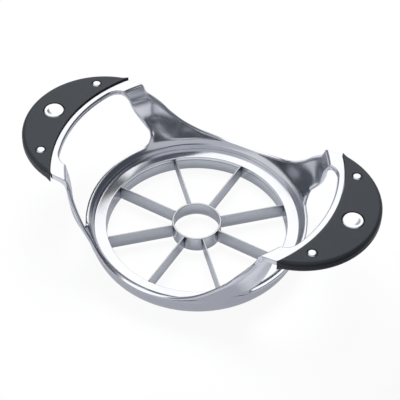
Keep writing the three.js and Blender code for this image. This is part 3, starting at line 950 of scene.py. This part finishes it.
def polished_casting():
    """Bright cast metal, polished by hand, with a faint ripple."""
    material, tree, shader = finish_material("polished_casting", (0.86, 0.87, 0.9), 1.0, 0.06)
    place = add(tree, "ShaderNodeTexCoord").outputs["Object"]
    marks = add(tree, "ShaderNodeGroup", {"node_tree": HANDLING}, Vector=place, Roughness=0.15,
                Smudge=0.04, Scratch=0.03, Ripple=0.4)
    tree.links.new(marks.outputs["Roughness"], shader.inputs["Roughness"])
    tinted(tree, shader, marks.outputs["Smudge"], (0.87, 0.88, 0.91), (0.82, 0.84, 0.88))
    bumped(tree, shader, marks.outputs["Height"], 0.00003)
    return material


def ground_steel(name, roughness, along, around, upward):
    """Steel with grinding lines, finest in the direction that has the largest scale."""
    material, tree, shader = finish_material(name, (0.62, 0.64, 0.67), 1.0, 0.25)
    place = add(tree, "ShaderNodeTexCoord").outputs["Object"]
    lines = add(tree, "ShaderNodeGroup", {"node_tree": BRUSHED},
                Vector=polar(tree, place, along, around, upward), Roughness=roughness, Spread=0.2)
    tree.links.new(lines.outputs["Roughness"], shader.inputs["Roughness"])
    tone = add(tree, "ShaderNodeMapRange", Value=lines.outputs["Tone"], From_Min=0.45,
               From_Max=1.05)
    tinted(tree, shader, tone.outputs[0], (0.54, 0.56, 0.59), (0.72, 0.74, 0.77))
    bumped(tree, shader, lines.outputs["Height"], 0.00001)
    return material


def moulded_grip():
    """Dark moulded plastic with a fine grain."""
    material, tree, shader = finish_material("moulded_grip", (0.028, 0.033, 0.038), 0.0, 0.5)
    place = add(tree, "ShaderNodeTexCoord").outputs["Object"]
    grain = add(tree, "ShaderNodeTexVoronoi", Vector=place, Scale=2600.0)
    fine = add(tree, "ShaderNodeTexNoise", Vector=place, Scale=5200.0, Detail=2.0)
    height = add(tree, "ShaderNodeMath", {"operation": "MULTIPLY_ADD"},
                 _0=grain.outputs["Distance"], _1=0.6, _2=fine.outputs["Fac"])
    marks = add(tree, "ShaderNodeGroup", {"node_tree": HANDLING}, Vector=place, Roughness=0.37,
                Smudge=0.12, Scratch=0.1, Ripple=0.0)
    tree.links.new(marks.outputs["Roughness"], shader.inputs["Roughness"])
    tinted(tree, shader, marks.outputs["Smudge"], (0.018, 0.022, 0.027), (0.026, 0.031, 0.036))
    bumped(tree, shader, height.outputs[0], 0.00004, 0.7)
    return material


def turned_stud():
    """Bright turned rivet heads."""
    material, tree, shader = finish_material("turned_stud", (0.9, 0.91, 0.92), 1.0, 0.08)
    place = add(tree, "ShaderNodeTexCoord").outputs["Object"]
    marks = add(tree, "ShaderNodeGroup", {"node_tree": HANDLING}, Vector=place, Roughness=0.06,
                Smudge=0.06, Scratch=0.08, Ripple=0.3)
    tree.links.new(marks.outputs["Roughness"], shader.inputs["Roughness"])
    tinted(tree, shader, marks.outputs["Smudge"], (0.91, 0.92, 0.93), (0.85, 0.86, 0.88))
    bumped(tree, shader, marks.outputs["Height"], 0.00003)
    return material


def dress(pieces, material):
    """Gives each piece its finish."""
    for piece in pieces:
        piece.data.materials.clear()
        piece.data.materials.append(material)


dress([casting, *tangs], polished_casting())
dress(blades, ground_steel("blade_grind", 0.26, 40, 900, 3000))
dress([core, band], ground_steel("ring_grind", 0.12, 3000, 6, 3500))
dress(grips, moulded_grip())
dress(rivets, turned_stud())


# Camera, from the fit to the photograph
CAMERA_PLACE = (0.19088, -0.38687, 0.48825)
CAMERA_AZIMUTH = math.radians(26.065)
CAMERA_TILT = math.radians(90 - 47.013)
CAMERA_ROLL = math.radians(1.002)

camera_data = bpy.data.cameras.new("camera")
camera_data.lens = 112.9
camera_data.sensor_width = 36
camera_data.clip_start = 0.01
camera_data.clip_end = 20
camera = bpy.data.objects.new("camera", camera_data)
bpy.context.scene.collection.objects.link(camera)
camera.matrix_world = (
    Matrix.Translation(CAMERA_PLACE)
    @ Matrix.Rotation(CAMERA_AZIMUTH, 4, "Z")
    @ Matrix.Rotation(CAMERA_TILT, 4, "X")
    @ Matrix.Rotation(CAMERA_ROLL, 4, "Z")
)
bpy.context.scene.camera = camera


# The studio: the floor's half width and height, and the tones that it and the room show
FLOOR_HALF = 3.0
FLOOR_HEIGHT = -0.0002
DARK_FLOOR = (0.13, 0.14, 0.16, 1)
PALE_FLOOR = (0.8, 0.81, 0.83, 1)
MIRRORED_GLOW = (0.5, 0.51, 0.56, 1)
GLOW_SHARE = 0.6
CAMERA_WHITE_SHARE = 0.93
FLOOR_DUSK = (0.02, 0.026, 0.036, 1)
ROOM_DUSK = (0.03, 0.036, 0.046, 1)
ROOM_GREY = (0.47, 0.48, 0.52, 1)
WHITE = (1, 1, 1, 1)


def stage_floor(name):
    """The floor that the object stands on, a hair below it."""
    bm = bmesh.new()
    bmesh.ops.create_grid(bm, x_segments=1, y_segments=1, size=FLOOR_HALF)
    bmesh.ops.translate(bm, vec=(0, 0, FLOOR_HEIGHT), verts=bm.verts)
    mesh = bpy.data.meshes.new(name)
    bm.to_mesh(mesh)
    bm.free()
    plane = bpy.data.objects.new(name, mesh)
    bpy.context.scene.collection.objects.link(plane)
    return plane


def floor_material():
    """White paper, shown white to the camera apart from part of the object's shadow.

    Metal sees a part of even glow in it, and a darker tone far out on the front right. Rays
    that metal mirrors twice find it dark, except close above it. From below it is clear.
    """
    material = bpy.data.materials.new("white_floor")
    material.use_nodes = True
    tree = material.node_tree
    tree.nodes.clear()
    place = add(tree, "ShaderNodeTexCoord").outputs["Object"]
    away = add(tree, "ShaderNodeVectorMath", {"operation": "LENGTH"}, _0=place)
    near = add(tree, "ShaderNodeMapRange", {"interpolation_type": "SMOOTHSTEP"},
               Value=away.outputs["Value"], From_Min=0.15, From_Max=0.09)
    toward = add(tree, "ShaderNodeVectorMath", {"operation": "NORMALIZE"}, _0=place)
    along = add(tree, "ShaderNodeVectorMath", {"operation": "DOT_PRODUCT"}, _0=toward.outputs[0],
                _1=(0.88, -0.47, 0))
    front = add(tree, "ShaderNodeMapRange", {"interpolation_type": "SMOOTHSTEP"},
                Value=along.outputs["Value"], From_Min=0.9, From_Max=0.6)
    pale = add(tree, "ShaderNodeMath", {"operation": "MAXIMUM"}, _0=near.outputs[0],
               _1=front.outputs[0])
    tone = add(tree, "ShaderNodeMix", {"data_type": "RGBA"}, _0=pale.outputs[0],
               _6=DARK_FLOOR, _7=PALE_FLOOR)
    paper = add(tree, "ShaderNodeBsdfDiffuse", Color=tone.outputs[2])
    white = add(tree, "ShaderNodeEmission", Color=WHITE, Strength=1.0)
    seen = add(tree, "ShaderNodeLightPath")
    share = add(tree, "ShaderNodeMath", {"operation": "MULTIPLY"}, _0=seen.outputs["Is Camera Ray"],
                _1=CAMERA_WHITE_SHARE)
    mix = add(tree, "ShaderNodeMixShader", _0=share.outputs[0], _1=paper.outputs[0],
              _2=white.outputs[0])
    mirrored = add(tree, "ShaderNodeMath", {"operation": "MULTIPLY"},
                   _0=seen.outputs["Is Glossy Ray"], _1=pale.outputs[0])
    mirrored = add(tree, "ShaderNodeMath", {"operation": "MULTIPLY"}, _0=mirrored.outputs[0],
                   _1=GLOW_SHARE)
    glow = add(tree, "ShaderNodeEmission", Color=MIRRORED_GLOW, Strength=1.0)
    mix = add(tree, "ShaderNodeMixShader", _0=mirrored.outputs[0], _1=mix.outputs[0],
              _2=glow.outputs[0])
    twice = add(tree, "ShaderNodeMath", {"operation": "GREATER_THAN"},
                _0=seen.outputs["Glossy Depth"], _1=1.5)
    far = add(tree, "ShaderNodeMapRange", {"interpolation_type": "SMOOTHSTEP"},
              Value=seen.outputs["Ray Length"], From_Min=0.006, From_Max=0.01)
    twice = add(tree, "ShaderNodeMath", {"operation": "MULTIPLY"}, _0=twice.outputs[0],
                _1=far.outputs[0])
    dusk = add(tree, "ShaderNodeEmission", Color=FLOOR_DUSK, Strength=1.0)
    mix = add(tree, "ShaderNodeMixShader", _0=twice.outputs[0], _1=mix.outputs[0],
              _2=dusk.outputs[0])
    below = add(tree, "ShaderNodeNewGeometry")
    clear = tree.nodes.new("ShaderNodeBsdfTransparent")
    mix = add(tree, "ShaderNodeMixShader", _0=below.outputs["Backfacing"], _1=mix.outputs[0],
              _2=clear.outputs[0])
    out = tree.nodes.new("ShaderNodeOutputMaterial")
    tree.links.new(mix.outputs[0], out.inputs["Surface"])
    return material


dress([stage_floor("floor")], floor_material())

# Soft white and dark panels in the grey room, each by azimuth, elevation, half width, half
# height and softness in degrees, and its colour
PANELS = [
    (-155, 42, 25, 28, 15, (0.66, 0.67, 0.7)),
    (35, 42, 34, 22, 12, (0.06, 0.065, 0.08)),
    (158, 20, 20, 22, 12, (0.2, 0.21, 0.24)),
    (0, 0, 200, 5, 6, (0.03, 0.035, 0.045)),
    (-28, 0, 28, 12, 8, (0.06, 0.065, 0.08)),
    (0, 80, 75, 7, 4, (0.07, 0.08, 0.1)),
    (115, 43, 20, 26, 7, (1.15, 1.15, 1.15)),
]


def studio_world():
    """A grey room with its panels, white to the camera, and dark below to rays mirrored twice."""
    world = bpy.data.worlds.new("studio")
    bpy.context.scene.world = world
    world.use_nodes = True
    tree = world.node_tree
    tree.nodes.clear()
    way = add(tree, "ShaderNodeTexCoord").outputs["Generated"]
    colour = None
    for azimuth, elevation, wide, high, soft, tone in PANELS:
        turned = add(tree, "ShaderNodeVectorRotate", {"rotation_type": "Z_AXIS"}, Vector=way,
                     Angle=-math.radians(azimuth))
        parts = add(tree, "ShaderNodeSeparateXYZ", _0=turned.outputs[0])
        across = add(tree, "ShaderNodeMath", {"operation": "ARCTAN2"}, _0=parts.outputs[1],
                     _1=parts.outputs[0])
        up = add(tree, "ShaderNodeMath", {"operation": "ARCSINE"}, _0=parts.outputs[2])
        up = add(tree, "ShaderNodeMath", {"operation": "SUBTRACT"}, _0=up.outputs[0],
                 _1=math.radians(elevation))
        masks = []
        for offset, half in ((across, wide), (up, high)):
            size = add(tree, "ShaderNodeMath", {"operation": "ABSOLUTE"}, _0=offset.outputs[0])
            masks.append(add(
                tree, "ShaderNodeMapRange", {"interpolation_type": "SMOOTHSTEP"},
                Value=size.outputs[0], From_Min=math.radians(half + soft),
                From_Max=math.radians(half), To_Min=0.0, To_Max=1.0,
            ).outputs[0])
        mask = add(tree, "ShaderNodeMath", {"operation": "MULTIPLY"}, _0=masks[0], _1=masks[1])
        mix = add(tree, "ShaderNodeMix", {"data_type": "RGBA"}, _0=mask.outputs[0],
                  _6=ROOM_GREY, _7=(*tone, 1))
        if colour is not None:
            tree.links.new(colour, mix.inputs[6])
        colour = mix.outputs[2]
    seen = add(tree, "ShaderNodeLightPath")
    twice = add(tree, "ShaderNodeMath", {"operation": "GREATER_THAN"},
                _0=seen.outputs["Glossy Depth"], _1=1.5)
    height = add(tree, "ShaderNodeSeparateXYZ", _0=way)
    low = add(tree, "ShaderNodeMapRange", {"interpolation_type": "SMOOTHSTEP"},
              Value=height.outputs[2], From_Min=0.42, From_Max=0.25)
    low = add(tree, "ShaderNodeMath", {"operation": "MULTIPLY"}, _0=low.outputs[0],
              _1=twice.outputs[0])
    mix = add(tree, "ShaderNodeMix", {"data_type": "RGBA"}, _0=low.outputs[0], _6=colour,
              _7=ROOM_DUSK)
    room = add(tree, "ShaderNodeBackground", Color=mix.outputs[2], Strength=1.0)
    white = add(tree, "ShaderNodeBackground", Color=WHITE, Strength=1.0)
    mix = add(tree, "ShaderNodeMixShader", _0=seen.outputs["Is Camera Ray"], _1=room.outputs[0],
              _2=white.outputs[0])
    out = tree.nodes.new("ShaderNodeOutputWorld")
    tree.links.new(mix.outputs[0], out.inputs["Surface"])


studio_world()


def lamp(name, place, aim, size, power):
    """A round soft lamp, left out of what metal mirrors."""
    data = bpy.data.lights.new(name, "AREA")
    data.shape, data.size, data.energy = "DISK", size, power
    light = bpy.data.objects.new(name, data)
    bpy.context.scene.collection.objects.link(light)
    light.location = place
    light.rotation_mode = "QUATERNION"
    light.rotation_quaternion = (Vector(aim) - Vector(place)).to_track_quat("-Z", "Y")
    light.visible_glossy = False


lamp("key", (-0.4, 0.7, 1.5), (0, 0, 0), 1.0, 30)

bpy.context.scene.view_settings.view_transform = "Standard"
